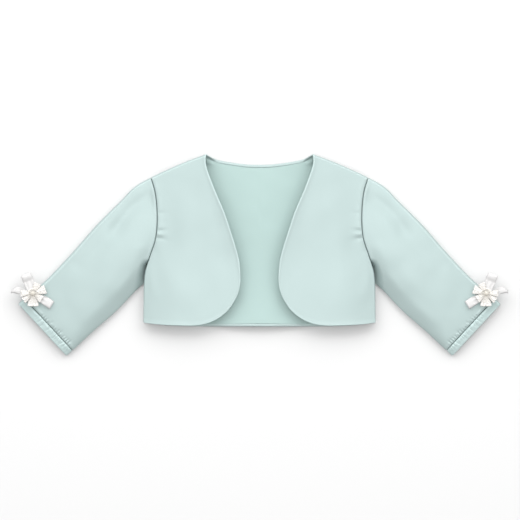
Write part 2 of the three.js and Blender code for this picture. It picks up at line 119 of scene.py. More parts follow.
SEAM_FADE = 5
SEAM_DIP = {"deep": 1.5, "run": 1.7}
SEAM_PUFF = {"rise": 0.12, "at": 3.4, "width": 2.2}
EDGE_RIM = {"rise": 0.2, "at": 1.5, "width": 2.2}
RIM_FADE = 6
EDGE_ROUND = {"front": 0.5, "back": 0.6, "lining": 0.45, "cuff": 0.6}
# Free edges get a painted highlight, a paler rim in the colour. Below the arm the side gets one too, past
# this share of its turn.
PAINTED_RIM_HIGHLIGHT = {"at": 0.5, "width": 0.9}
SIDE_PAINTED_RIM_FROM = 0.3
NECK_LIFT = {"at": (62.5, 120.5), "rise": 10.5, "width": 7.6}
NECK_SEAM = [
    {"start": (62, 110.2), "end": (53.5, 113.4), "width": 1.7, "rise": 0.5, "bow": 0.5},
    {"start": (63.2, 117.2), "end": (56, 113.6), "width": 2.9, "rise": -3, "bow": 0.3},
]
# The back's turned edge at neck and hem, which ends a little before the side
EDGE_BAND = {"rise": 1.25, "turn": 0.9, "wide": 3.1, "fall": 0.6, "until": 0.95, "steep": 12}
HEM_LIFT = {"rise": 6, "half": 88, "run": 110}
UNDERARM_HOLLOW = {"low": 2, "below": -4, "fade": 10, "run": 15, "power": 1.9}

# Sleeves
SLEEVE_END = {"upper": (281.8, -51.2), "lower": (223.6, -114)}
UPPER_EDGE = [
    SHOULDER, (149.5, 82), (166, 65.2), (193.8, 37.6), (226, 1.2), (257.6, -31.6), SLEEVE_END["upper"],
]
LOWER_EDGE = [UNDERARM, (146.4, -40.6), (171, -66.2), (202, -93.6), SLEEVE_END["lower"]]
SLEEVE_ROWS = [
    {
        "at": 0, "height": 14.2, "upper_round": 3.4, "lower_round": 44,
        "corner_in": 0.8, "widest": 2, "fall": 0.56,
    },
    {
        "at": 0.12, "height": 14.9, "upper_round": 4, "lower_round": 36,
        "corner_in": 2.4, "widest": 3.6, "fall": 0.68,
    },
    {
        "at": 0.4, "height": 15.4, "upper_round": 4.8, "lower_round": 26,
        "corner_in": 3, "widest": 4.6, "fall": 0.74,
    },
    {
        "at": 0.75, "height": 13.2, "upper_round": 4.8, "lower_round": 24,
        "corner_in": 3, "widest": 4.6, "fall": 0.5,
    },
    {
        "at": 0.9, "height": 11.7, "upper_round": 4.6, "lower_round": 20,
        "corner_in": 2.6, "widest": 4.2, "fall": 0.36,
    },
    {
        "at": 1, "height": 10.4, "upper_round": 4.2, "lower_round": 17,
        "corner_in": 2.4, "widest": 3.8, "fall": 0.28,
    },
]
RIDGE_AT = 0.36
RING_CLOSER = 0.25
SEAM_LINE = {"deep": 0.5, "up": 1.7, "width": 0.5, "past": 0.9}
UPPER_FALL = {"level": 0.93, "run": 22}
SLEEVE_WALL = 1.4
SLEEVE_END_DIP = {"deep": 1.1, "run": 1.4}
SLEEVE_LIP = {"rise": 0.35, "at": 2.4, "width": 1.6}
SLEEVE_RIPPLES = {"seed": 21, "size": 0.3}
# Over how many millimetres folds set in up to the sleeve's top and from its ends, and fade off the table
SLEEVE_FADE = {"top": 9, "beneath": 2, "ends": 6}
SLEEVE_FOLDS = [
    {"start": (142, 6), "end": (164, -42), "width": 8, "rise": 0.5, "bow": -3},
    {"start": (133, 62), "end": (146, 20), "width": 7, "rise": -0.35, "bow": 2},
    {"start": (136, 70), "end": (172, 30), "width": 9, "rise": -1.6, "bow": 3},
    {"start": (172, 34), "end": (216, -12), "width": 9, "rise": -0.8, "bow": -2},
    {"start": (176, -8), "end": (222, -62), "width": 10, "rise": -0.25, "bow": 5},
    {"start": (196, 10), "end": (250, -52), "width": 11, "rise": 0.3, "bow": 4},
    {"start": (236, -44), "end": (226, -76), "width": 9, "rise": -0.2, "bow": 2},
    {"start": (160, -30), "end": (206, -78), "width": 8, "rise": 0.35, "bow": -4},
]
# Folds beneath both sleeves, pressed up from the table
SLEEVE_UNDER_FOLDS = [
    {"start": (150, 58), "end": (172, 6), "width": 6, "rise": 0.9, "bow": 3},
    {"start": (158, 22), "end": (190, -60), "width": 8, "rise": 1.1, "bow": -4},
    {"start": (204, 2), "end": (228, -64), "width": 7, "rise": 0.8, "bow": 3},
    {"start": (262, -52), "end": (236, -90), "width": 5, "rise": 0.7, "bow": -2},
    {"start": (-146, 40), "end": (-166, -20), "width": 7, "rise": 1, "bow": -3},
    {"start": (-178, 30), "end": (-196, -70), "width": 7, "rise": 0.8, "bow": 4},
    {"start": (-228, -20), "end": (-214, -88), "width": 6, "rise": 1, "bow": 2},
    {"start": (-250, -34), "end": (-262, -66), "width": 5, "rise": 0.6, "bow": 1},
]
# Gathers above the cuff seam, between two shares of its length. A pair is the range of a random share.
GATHERS = {
    "seed": 3, "first": 0.36, "last": 0.92, "count": 16, "off": 0.5, "aside": 0.8, "bow": 0.4, "fade": 0.96,
    "long": 7.5, "longer": (0.5, 1.2), "width": 0.95, "wider": (0.8, 1.3), "deep": 1.2, "deeper": (0.4, 1.2),
}

# Cuffs
CUFF_WIDE = 10
CUFF_LOWER = 0.9
CUFF_NARROWER = 0.6
CUFF_WALL = 1.5
CUFF_FALL = {"deep": 1, "from": 2}
CUFF_DIP = {"deep": 1.5, "run": 1.8}
CUFF_END_DIP = {"deep": 0.7, "run": 2.6}
CUFF_BELLY = {"rise": 0.2, "at": 2.6, "width": 2}
CUFF_RIPPLES = {"seed": 8, "size": 0.4, "count": 7}
CUFF_FADE = {"top": 6, "ends": 2}
# Fine pulled threads over the cuff, between two shares of its seam. A pair is a random range.
CUFF_TICKS = {
    "seed": 9, "first": 0.3, "last": 0.97, "count": 22, "aside": 0.012, "near": 0.12, "far": (0.45, 0.95),
    "slant": 0.02, "width": (0.5, 0.8), "deep": (0.25, 0.6), "bow": 0.3,
}

# Flower, bead and ribbon loops on each cuff
FLOWER = {
    "out": 271, "up": -46.1, "radius": 15.5, "thick": 1.4, "dome": 0.6, "middle": 0.06, "lower": 0.45,
    "wall": 0.9,
}
PETALS = [
    {"turn": 20, "reach": 16, "half": 23},
    {"turn": 66, "reach": 13.8, "half": 22},
    {"turn": 178, "reach": 14.8, "half": 19},
    {"turn": 216, "reach": 14.2, "half": 18.5},
    {"turn": 270, "reach": 15.3, "half": 31},
    {"turn": 326, "reach": 12.8, "half": 24},
]
PETAL_NOTCH = {"radius": 7, "from": 0.82, "run": 0.17}
PETAL_TIP = {"corners": 0.06, "dent": 0.04, "width": 0.14, "uneven": 0.02, "turns": 0.9}
PETAL_RIDGE = {"rise": 0.3, "width": 0.2, "from": 0.15, "steep": 4}
PETAL_GAP = {"deep": 0.5, "from": 0.6, "run": 0.4, "beyond": 4, "fade": 5}
PETAL_UNDERSIDE = 14
LACE_RIM = {"rise": 0.5, "in": 0.9, "width": 0.75}
LACE_VEINS = {"rise": 0.22, "count": 36, "beyond": 4, "fade": 6, "until": 0.9, "steep": 8}
LACE_RING = {"rise": 0.35, "at": 5.4, "width": 0.8}
LACE_HOLLOW = {"deep": 0.7, "at": 3.4, "width": 1}
HUB = {"radius": 4.9, "bottom": 9.6, "gathers": 9, "deep": 0.07, "above": 0.4, "wall": 0.6}
PEARL_RADIUS = 3.1
# The pearl lies on its side, and is a little flat where its hole comes out
PEARL_HOLE = {"way": (1, 0.3, 0), "deep": 0.16, "from": 0.97}
BOW_MIDDLE = 12.3
BOW_START = 5.2
BOW_NEAR = 1.25
BOW_SWELL = 5
BOW_RISE = 8
BOW_WIDEST = 0.65
BOW_SWAY_POWER = 1.6
BOW_CURL = {"deep": 1.2, "power": 4, "before": 2}
BOW_GATHERS = {"rise": 0.22, "waves": 7, "first": 0.6, "until": 0.75, "fall": 3, "start": 4}
# How far in from each edge of a ribbon loop the painted shade reaches
PAINTED_EDGE_SHADE_WIDTH = 1.1
BOW_LOOPS = [
    {
        "name": "bow_up", "turn": 111.5, "reach": 24.5, "near": 11.2, "wide": 12.6, "end": 11.4,
        "tip": 2.3, "rise": 0.8, "sway": -0.6,
    },
    {
        "name": "bow_out", "turn": 175, "reach": 26, "near": 5, "wide": 8.2, "end": 2.4,
        "tip": 1.8, "rise": 0, "sway": -2.6,
    },
    {
        "name": "bow_in", "turn": -31.7, "reach": 26.5, "near": 7.4, "wide": 10.8, "end": 10.6,
        "tip": 2, "rise": 0.5, "sway": 0.4,
    },
]
RIBBON_WALL = 0.5

# Faces across and down each piece, or round and along it
GRIDS = {
    "front": (112, 176), "back": (128, 120), "sleeve": (300, 130), "cuff": (360, 26), "petals": (324, 28),
    "knot": (72, 8), "ribbon": (110, 22), "pearl": (40, 26),
}
SHARP = 55
TINY = 1e-9
# How near points are merged where a tube closes, in metres
MERGE = 1e-6

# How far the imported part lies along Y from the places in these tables
SHIFT_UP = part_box("back")[0][1] / MM - HEM_UP


def ease(x):
    """From 0 to 1, level at both ends."""
    x = np.clip(x, 0, 1)
    return x * x * (3 - 2 * x)


def quarter_round(x):
    """A quarter round: steep at 0 and level from 1 on."""
    return np.sqrt(np.clip(1 - (1 - np.clip(x, 0, 1)) ** 2, 0, 1))


def soft_round(x):
    """Like a quarter round, with its bend easing out."""
    return np.sqrt(np.clip(1 - (1 - np.clip(x, 0, 1)) ** 3, 0, 1))


def settle(x, level):
    """From level at 0 to 1 from 1 on, sloping most at 0."""
    return 1 - (1 - level) * (1 - np.clip(x, 0, 1)) ** 2


def mix(a, b, share):
    return a + (b - a) * share


def graded(share, ends=0.88):
    """Shares from 0 to 1 that lie closer together at both ends."""
    return share - ends * np.sin(2 * math.pi * share) / (2 * math.pi)


def bell(distance, width):
    """1 at no distance, falling away over about the width."""
    return np.exp(-((distance / width) ** 2))


def lane(points, samples=48):
    """A smooth curve through (out, up) points: a function from shares of its length to its points."""
    p = np.array(points, float)
    p = np.vstack([2 * p[0] - p[1], p, 2 * p[-1] - p[-2]])
    knot = np.linalg.norm(np.diff(p, axis=0), axis=1) ** 0.5
    s = np.linspace(0, 1, samples, endpoint=False)[:, None]
    line = []
    for i in range(1, len(p) - 2):
        before, here, after = knot[i - 1 : i + 2]
        step = p[i + 1] - p[i]
        leave = ((p[i] - p[i - 1]) / before - (p[i + 1] - p[i - 1]) / (before + here) + step / here) * here
        arrive = (step / here - (p[i + 2] - p[i]) / (here + after) + (p[i + 2] - p[i + 1]) / after) * here
        bend = 3 * step - 2 * leave - arrive
        twist = leave + arrive - 2 * step
        line.append(p[i] + leave * s + bend * s**2 + twist * s**3)
    return follow(np.vstack([*line, p[-2:-1]]))


def follow(line):
    """A function from shares of a line's length to its points."""
    far = np.concatenate([[0], np.cumsum(np.linalg.norm(np.diff(line, axis=0), axis=1))])

    def at(share):
        d = np.clip(share, 0, 1) * far[-1]
        return np.stack([np.interp(d, far, line[:, k]) for k in range(line.shape[1])], axis=-1)

    at.length = far[-1]
    return at


def set_in(line, distance, steps=240):
    """A line moved square to itself, to its right."""
    p = line(np.linspace(0, 1, steps + 1))
    along = np.gradient(p, axis=0)
    along /= np.linalg.norm(along, axis=1)[:, None]
    return follow(p + np.stack([along[:, 1], -along[:, 0]], axis=1) * distance)


def patch(a, b, c, d):
    """Plan points between four lanes: a and c run across, b and d run down."""

    def at(across, down):
        u, v = across[..., None], down[..., None]
        sides = a(across) * (1 - v) + c(across) * v + b(down) * (1 - u) + d(down) * u
        corners = a(0) * (1 - u) * (1 - v) + a(1) * u * (1 - v) + c(0) * (1 - u) * v + c(1) * u * v
        return sides - corners

    return at


def corner_points(start, end, count):
    """Points along the rounded lower corner of a front, between two shares of its quarter turn."""
    angles = np.linspace(start, end, count + 1) * math.pi / 2
    return [
        (CORNER["out"] - CORNER["across"] * math.sin(t), CORNER["up"] - CORNER["down"] * math.cos(t))
        for t in angles
    ]


body_edge = lane(BODY_EDGE)
shoulder_lane = lane(SHOULDER_LINE)
hem_lane = lane([*FRONT_HEM, *corner_points(0, CORNER["split"], 4)])
front_lane = lane([*FRONT_EDGE, *corner_points(1, CORNER["split"], 3)])
upper_lane = lane(UPPER_EDGE)
lower_lane = lane(LOWER_EDGE)
cuff_seam = lane([SLEEVE_END["upper"], SLEEVE_END["lower"]])
edge_shares = np.linspace(0, 1, 4001)
armhole_share = edge_shares[np.argmax(body_edge(edge_shares)[:, 1] <= UNDERARM[1])]


def folds(rows, plan):
    """The rise of soft folds at plan points. Each fold swells and fades along its bowed line."""
    total = np.zeros(plan.shape[:-1])
    for row in rows:
        start, end = np.array(row["start"], float), np.array(row["end"], float)
        line = end - start
        long = np.linalg.norm(line)
        line /= long
        off = plan - start
        along = (off @ line) / long
        bow = row["bow"] * np.sin(math.pi * np.clip(along, 0, 1))
        beside = off @ np.array([-line[1], line[0]]) - bow
        past = np.maximum(np.maximum(-along, along - 1), 0) * long
        full = np.sin(math.pi * np.clip(along, 0, 1) ** FOLD_SWELL["early"])
        swell = FOLD_SWELL["ends"] + FOLD_SWELL["middle"] * full
        swell *= 1 - row.get("fade", 0) * ease(along)
        total += row["rise"] * swell * bell(beside, row["width"]) * bell(past, row["width"])
    return total


def neck_lift(plan):
    """The shoulder seams stand up a little where they meet the neck."""
    return NECK_LIFT["rise"] * bell(np.linalg.norm(plan - NECK_LIFT["at"], axis=-1), NECK_LIFT["width"])


def dip(distance, size):
    """How far cloth turns down beside a seam or at an edge."""
    return size["deep"] * (1 - quarter_round(distance / size["run"]))


def ripples(plan, seed, size, count=9):
    """Very slight unevenness, as a few long waves in different directions."""
    random = np.random.default_rng(seed)
    total = np.zeros(plan.shape[:-1])
    for _ in range(count):
        turn = random.uniform(0, math.pi)
        wave = random.uniform(RIPPLE_WAVES["shortest"], RIPPLE_WAVES["longest"])
        phase = random.uniform(0, 2 * math.pi)
        total += np.sin((plan @ np.array([math.cos(turn), math.sin(turn)])) * 2 * math.pi / wave + phase)
    return total * size / count


# Meshes


def new_piece(name, bm, materials, replaces):
    mesh = bpy.data.meshes.new(name)
    bm.to_mesh(mesh)
    bm.free()
    mesh.polygons.foreach_set("use_smooth", [True] * len(mesh.polygons))
    piece = bpy.data.objects.new(name, mesh)
    bpy.context.scene.collection.objects.link(piece)
    for material in materials:
        mesh.materials.append(material)
    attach(piece, "root")
    if replaces:
        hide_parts(replaces)
    return piece


def grid_of(columns, rows, place, side=1, closed=False):
    """A grid of cloth. place takes shares across and down, and gives points and flat places in mm.

    It may give a third value too, a mask near the cloth's edges for a painted tone: painted highlight on the
    fronts, painted shade on the ribbon loops.
    """
    bm = bmesh.new()
    layer = bm.loops.layers.uv.new("cloth")
    painted_edge_layer = bm.loops.layers.uv.new("edge")
    bmesh.ops.create_grid(bm, x_segments=columns, y_segments=rows, size=0.5)
    bm.verts.ensure_lookup_table()
    shares = np.array([(v.co.x + 0.5, 0.5 - v.co.y) for v in bm.verts])
    points, flat, *edge = place(shares[:, 0], shares[:, 1])
    points = points * (side, 1, 1)
    for v, p in zip(bm.verts, points):
        v.co = (p[0] * MM, (p[1] + SHIFT_UP) * MM, p[2] * MM)
    for face in bm.faces:
        for loop in face.loops:
            loop[layer].uv = flat[loop.vert.index]
            if edge:
                loop[painted_edge_layer].uv = (edge[0][loop.vert.index], 0)
    if closed:
        bmesh.ops.remove_doubles(bm, verts=bm.verts, dist=MERGE)
    bmesh.ops.recalc_face_normals(bm, faces=bm.faces)
    if not closed and sum(f.normal.z * f.calc_area() for f in bm.faces) < 0:
        bmesh.ops.reverse_faces(bm, faces=bm.faces)
    return bm


def wall(piece, thick, round_edge=0.0, segments=3):
    """Gives cloth its thickness and the last material on its inner side, and rounds its edges."""
    solid = piece.modifiers.new("wall", "SOLIDIFY")
    solid.thickness = thick * MM
    solid.offset = -1
    solid.material_offset = len(piece.data.materials) - 1
    if round_edge:
        bevel = piece.modifiers.new("rolled edge", "BEVEL")
        bevel.width = round_edge * MM
        bevel.segments = segments
        bevel.profile = 0.5
        bevel.limit_method = "ANGLE"
        bevel.angle_limit = math.radians(SHARP)
        bevel.use_clamp_overlap = True


# Materials


def tree(name):
    material = bpy.data.materials.new(name)
    material.use_nodes = True
    nodes, links = material.node_tree.nodes, material.node_tree.links
    return material, nodes, links, nodes["Principled BSDF"]


def add(nodes, kind, **values):
    node = nodes.new(kind)
    for key, value in values.items():
        if key in node.inputs:
            node.inputs[key].default_value = value
        else:
            setattr(node, key, value)
    return node


def cloth_map(nodes, links, scale):
    """The cloth's own flat places, in millimetres, stretched by scale."""
    place = add(nodes, "ShaderNodeUVMap", uv_map="cloth")
    turn = add(nodes, "ShaderNodeMapping", Scale=scale)
    links.new(place.outputs["UV"], turn.inputs["Vector"])
    return turn.outputs["Vector"]


# The satin's weave: how its floats and cross yarns are stretched for a yarn's width, the unevenness over
# the whole cloth, and how much they change the tone, the gloss and the relief
WEAVE = {
    "float_along": 0.16, "cross_along": 0.25, "cross_fine": 1.4, "broad": (0.03, 0.022, 1),
    "float_tone": 0.35, "even_tone": 0.3, "broad_tone": 0.7, "gloss_range": 0.05, "relief": 0.08 * MM,
    "sheen_rough": 0.4,
}


def satin_like(name, colour, deep, rough, sheen, yarn, bump, gloss, lustre, painted_edge_scale=1.0):
    """Satin: long glossy floats one way, a fine cross yarn, slight unevenness of tone and gloss, and a tone
    along edges set by the edge mask: painted highlight when its scale is above 1, painted shade when below.
    """
    material, nodes, links, shader = tree(name)
    floats = add(nodes, "ShaderNodeTexNoise", Scale=1, Detail=2, Roughness=0.6)
    across_floats = cloth_map(nodes, links, (1 / yarn, WEAVE["float_along"] / yarn, 1))
    links.new(across_floats, floats.inputs["Vector"])
    cross = add(nodes, "ShaderNodeTexNoise", Scale=1, Detail=1, Roughness=0.5)
    across_yarns = cloth_map(nodes, links, (WEAVE["cross_along"] / yarn, WEAVE["cross_fine"] / yarn, 1))
    links.new(across_yarns, cross.inputs["Vector"])
    broad = add(nodes, "ShaderNodeTexNoise", Scale=1, Detail=2, Roughness=0.5)
    links.new(cloth_map(nodes, links, WEAVE["broad"]), broad.inputs["Vector"])

    tone = add(nodes, "ShaderNodeMix", data_type="RGBA")
    tone.inputs["A"].default_value = (*deep, 1)
    tone.inputs["B"].default_value = (*colour, 1)
    weave = add(nodes, "ShaderNodeMath", operation="MULTIPLY_ADD")
    weave.inputs[1].default_value = WEAVE["float_tone"]
    weave.inputs[2].default_value = WEAVE["even_tone"]
    links.new(floats.outputs["Fac"], weave.inputs[0])
    blend = add(nodes, "ShaderNodeMath", operation="MULTIPLY_ADD", use_clamp=True)
    blend.inputs[1].default_value = WEAVE["broad_tone"]
    links.new(broad.outputs["Fac"], blend.inputs[0])
    links.new(weave.outputs[0], blend.inputs[2])
    links.new(blend.outputs[0], tone.inputs["Factor"])
    # The edge mask scales the colour at the edges: a painted highlight on the fronts, painted shade on the
    # ribbon loops.
    rim = add(nodes, "ShaderNodeUVMap", uv_map="edge")
    part = add(nodes, "ShaderNodeSeparateXYZ")
    links.new(rim.outputs["UV"], part.inputs["Vector"])
    painted_edge_tone = add(nodes, "ShaderNodeMix", data_type="RGBA")
    painted_edge_tone.inputs["B"].default_value = (*[c * painted_edge_scale for c in colour], 1)
    links.new(part.outputs["X"], painted_edge_tone.inputs["Factor"])
    links.new(tone.outputs["Result"], painted_edge_tone.inputs["A"])
    links.new(painted_edge_tone.outputs["Result"], shader.inputs["Base Color"])

    shine = add(nodes, "ShaderNodeMapRange")
    shine.inputs["To Min"].default_value = rough - WEAVE["gloss_range"]
    shine.inputs["To Max"].default_value = rough + WEAVE["gloss_range"]
    links.new(cross.outputs["Fac"], shine.inputs["Value"])
    links.new(shine.outputs["Result"], shader.inputs["Roughness"])

    height = add(nodes, "ShaderNodeMath", operation="ADD")
    links.new(floats.outputs["Fac"], height.inputs[0])
    links.new(cross.outputs["Fac"], height.inputs[1])
    relief = add(nodes, "ShaderNodeBump", Strength=bump, Distance=WEAVE["relief"])
    links.new(height.outputs[0], relief.inputs["Height"])
    links.new(relief.outputs["Normal"], shader.inputs["Normal"])
    shader.inputs["Sheen Weight"].default_value = sheen
    shader.inputs["Sheen Roughness"].default_value = WEAVE["sheen_rough"]
    shader.inputs["Specular IOR Level"].default_value = gloss
    shader.inputs["Metallic"].default_value = lustre
    return material


# Its edge scale above 1 paints a highlight along the fronts' free edges.
SATIN = satin_like(
    "satin", colour=(0.306, 0.382, 0.375), deep=(0.288, 0.361, 0.354), rough=0.46, sheen=0.03,
    yarn=0.35, bump=0.25, gloss=0.6, lustre=0.31, painted_edge_scale=1.16,
)
# The cuffs' satin is the same satin with a paler colour: painted light that makes up for the shade the
# flower and ribbon loops cast on the cuffs.
CUFF_SATIN_LIGHTENED = satin_like(
    "satin lightened for cuffs", colour=(0.366, 0.459, 0.451), deep=(0.345, 0.432, 0.424), rough=0.46, sheen=0.03,
    yarn=0.35, bump=0.25, gloss=0.6, lustre=0.3,
)
LINING = satin_like(
    "lining satin", colour=(0.302, 0.401, 0.384), deep=(0.286, 0.38, 0.363), rough=0.6, sheen=0.03,
    yarn=0.3, bump=0.2, gloss=0.2, lustre=0,
)
# Its edge scale below 1 paints shade along the ribbon loops' edges.
RIBBON = satin_like(
    "white ribbon", colour=(0.5, 0.495, 0.49), deep=(0.45, 0.445, 0.45), rough=0.42, sheen=0.04,
    yarn=0.3, bump=0.25, gloss=0.5, lustre=0.05, painted_edge_scale=0.8,
)


# White lace: warmer near the middle, at shares of the flower's radius, and shaded between its threads
LACE_WHITE = {"warm": (0.6, 0.575, 0.53, 1), "white": (0.65, 0.64, 0.625, 1), "from": 0.15, "to": 0.75}
LACE_GAPS = {"colour": (0.44, 0.42, 0.39, 1), "from": 0.3, "to": 0.8, "most": 0.8}
LACE_THREAD = {"scale": 0.8, "strength": 0.8, "relief": 0.4 * MM, "rough": 0.78, "sheen": 0.15}


def lace_material():
    material, nodes, links, shader = tree("white lace")
    place = add(nodes, "ShaderNodeUVMap", uv_map="cloth")
    far = add(nodes, "ShaderNodeVectorMath", operation="LENGTH")
    links.new(place.outputs["UV"], far.inputs[0])
    ramp = add(nodes, "ShaderNodeValToRGB")
    scale = add(nodes, "ShaderNodeMath", operation="DIVIDE")
    scale.inputs[1].default_value = FLOWER["radius"]
    links.new(far.outputs["Value"], scale.inputs[0])
    links.new(scale.outputs[0], ramp.inputs["Fac"])
    first, last = ramp.color_ramp.elements
    first.position, first.color = LACE_WHITE["from"], LACE_WHITE["warm"]
    last.position, last.color = LACE_WHITE["to"], LACE_WHITE["white"]
    thread = add(nodes, "ShaderNodeTexVoronoi", Scale=LACE_THREAD["scale"])
    links.new(place.outputs["UV"], thread.inputs["Vector"])
    gaps = add(nodes, "ShaderNodeMapRange")
    gaps.inputs["From Min"].default_value = LACE_GAPS["from"]
    gaps.inputs["From Max"].default_value = LACE_GAPS["to"]
    gaps.inputs["To Max"].default_value = LACE_GAPS["most"]
    links.new(thread.outputs["Distance"], gaps.inputs["Value"])
    tone = add(nodes, "ShaderNodeMix", data_type="RGBA")
    tone.inputs["B"].default_value = LACE_GAPS["colour"]
    links.new(gaps.outputs["Result"], tone.inputs["Factor"])
    links.new(ramp.outputs["Color"], tone.inputs["A"])
    links.new(tone.outputs["Result"], shader.inputs["Base Color"])
    relief = add(nodes, "ShaderNodeBump", Strength=LACE_THREAD["strength"], Distance=LACE_THREAD["relief"])
    relief.invert = True
    links.new(thread.outputs["Distance"], relief.inputs["Height"])
    links.new(relief.outputs["Normal"], shader.inputs["Normal"])
    shader.inputs["Roughness"].default_value = LACE_THREAD["rough"]
    shader.inputs["Sheen Weight"].default_value = LACE_THREAD["sheen"]
    return material


CREAM = {
    "deep": (0.38, 0.355, 0.305, 1), "light": (0.45, 0.425, 0.38, 1), "cloud": 260, "rough": 0.28,
    "coat": 0.6, "coat_rough": 0.12,
}


def pearl_material():
    material, nodes, links, shader = tree("cream pearl")
    place = add(nodes, "ShaderNodeTexCoord")
    cloud = add(nodes, "ShaderNodeTexNoise", Scale=CREAM["cloud"], Detail=2)
    links.new(place.outputs["Object"], cloud.inputs["Vector"])
    tone = add(nodes, "ShaderNodeMix", data_type="RGBA")
    tone.inputs["A"].default_value = CREAM["deep"]
    tone.inputs["B"].default_value = CREAM["light"]
    links.new(cloud.outputs["Fac"], tone.inputs["Factor"])
    links.new(tone.outputs["Result"], shader.inputs["Base Color"])
    shader.inputs["Roughness"].default_value = CREAM["rough"]
    shader.inputs["Coat Weight"].default_value = CREAM["coat"]
    shader.inputs["Coat Roughness"].default_value = CREAM["coat_rough"]
    return material


LACE = lace_material()
PEARL = pearl_material()


# Fronts

front_plan = patch(shoulder_lane, lambda t: body_edge(t) - (ARMHOLE_GAP, 0), hem_lane, front_lane)


def front_points(side):
    """Points of a front: raised over the back, with its folds, its sleeve seam and its rolled edge, and a
    mask for the painted highlight along its free edges.
    """

    def place(u, v):
        across, down = graded(u), graded(v)
        plan = front_plan(across, down)
        edge = body_edge(down)
        from_side = np.linalg.norm(plan - edge, axis=1)
        from_edge = np.linalg.norm(plan - front_lane(down), axis=1)
        from_shoulder = np.linalg.norm(plan - shoulder_lane(across), axis=1)
        from_hem = np.linalg.norm(plan - hem_lane(across), axis=1)
        seam_foot = ease((UNDERARM[1] + UNDERARM_TURN["above"] - edge[:, 1]) / UNDERARM_TURN["run"])
        shoulder_share = soft_round(from_shoulder / SHOULDER_ROUND)
        shoulder_share *= settle(from_shoulder / SHOULDER_FALL["run"], SHOULDER_FALL["level"])
        below_arm = ease((UNDERARM[1] + UNDERARM_SLOPE["above"] - edge[:, 1]) / UNDERARM_SLOPE["run"])
        low_share = ease((UNDERARM[1] + ARMHOLE_LEVEL["above"] - edge[:, 1]) / ARMHOLE_LEVEL["run"])
        level = mix(ARMHOLE_LEVEL["high"], ARMHOLE_LEVEL["low"], low_share)
        at_armhole = settle(from_side / ARMHOLE_SLOPE, level)
        at_side = settle(from_side / SIDE_SLOPE, SIDE_LEVEL)
        rise = (
            mix(at_armhole, at_side, below_arm)
            * mix(1, quarter_round(from_side / SIDE_ROUND), seam_foot)
            * shoulder_share
            * mix(EDGE_LEVEL, 1, ease(from_edge / EDGE_SLOPE))
            * mix(HEM_LEVEL, 1, ease(from_hem / EDGE_SLOPE))
        )
        soft = ease(np.minimum(from_side, from_shoulder) / FOLD_FADE)
        height = FOOT + CROWN * rise + folds(FRONT_FOLDS, plan) * soft
        near_edge = 1 - np.clip(from_edge / EDGE_STAND["run"], 0, 1)
        stand = EDGE_STAND["rise"] * near_edge ** EDGE_STAND["power"]
        stand *= ease(1 - (EDGE_STAND["below"] - plan[:, 1]) / EDGE_STAND["fade"])
        height += stand * shoulder_share
        height += neck_lift(plan) * (1 - shoulder_share)
        height += ripples(plan * (side, 1), **FRONT_RIPPLES) * soft
        seam = (1 - seam_foot) * ease(from_shoulder / SEAM_FADE)
        pucker = ease(from_side / PUCKER_FADE)
        height += folds(PUCKERS, plan) * pucker * (1 - seam_foot)
        height += SEAM_PUFF["rise"] * bell(from_side - SEAM_PUFF["at"], SEAM_PUFF["width"]) * seam
        height -= dip(from_side, SEAM_DIP) * seam
        free = np.minimum(from_edge, from_hem)
        rim = EDGE_RIM["rise"] * bell(free - EDGE_RIM["at"], EDGE_RIM["width"])
        height += rim * ease(from_shoulder / RIM_FADE)
        # A mask for a painted highlight: a paler rim along the free edges, and along the side below the arm
        to_painted_rim = np.minimum(free, np.where(seam_foot > SIDE_PAINTED_RIM_FROM, from_side, np.inf))
        painted_edge_tone = bell(to_painted_rim - PAINTED_RIM_HIGHLIGHT["at"], PAINTED_RIM_HIGHLIGHT["width"])
        return np.column_stack([plan, height]), plan, painted_edge_tone

    return place


def front(name, side):
    bm = grid_of(*GRIDS["front"], front_points(side), side)
    piece = new_piece(f"front_{name}_cloth", bm, [SATIN, LINING], f"front_{name}")
    wall(piece, WALL, EDGE_ROUND["front"], 4)


# Back and its lining


def side_ways(side):
    """What turns plan points of the right half to their own side."""
    return np.column_stack([side, np.ones_like(side)])


def half_shares(u):
    """Shares out from the centre line and the side, for shares across the whole back."""
    return np.abs(2 * u - 1), np.sign(2 * u - 1)


def back_plan(neck_in, side_in, hem_in):
    """Plan of half the back, from the centre line out to the side, each edge set in by its own amount."""
    neck = set_in(lane(BACK_NECK[::-1]), neck_in)
    shoulder = set_in(lane(SHOULDER_LINE[::-1]), side_in)
    side = set_in(body_edge, side_in)
    hem = set_in(lane(BACK_HEM), hem_in)
    turn = neck.length / (neck.length + shoulder.length)
    columns = GRIDS["back"][0] // 2
    turn = round(turn * columns) / columns
    corner = (neck(1) + shoulder(0)) / 2
    outer = (shoulder(1) + side(0)) / 2
    low = (side(1) + hem(0)) / 2

    def top(share):
        share = np.asarray(share, float)[..., None]
        s = share[..., 0]
        first = neck(s / turn)
        second = shoulder((s - turn) / (1 - turn))
        return np.where(share <= turn, first, second)

    def fit(line, start, end):
        """The line with its two ends moved to start and end."""

        def at(share):
            s = np.asarray(share, float)[..., None]
            return line(share) + (start - line(0)) * (1 - s) + (end - line(1)) * s

        return at

    middle_top = np.array([0, BACK_NECK[-1][1] - neck_in])
    middle_low = np.array([0, HEM_UP + hem_in])
    neck = fit(neck, middle_top, corner)
    shoulder = fit(shoulder, corner, outer)
    side = fit(side, outer, low)
    hem_back = fit(hem, low, middle_low)
    centre = follow(np.linspace(middle_top, middle_low, 3))
    return patch(top, centre, lambda s: hem_back(1 - np.asarray(s, float)), side)


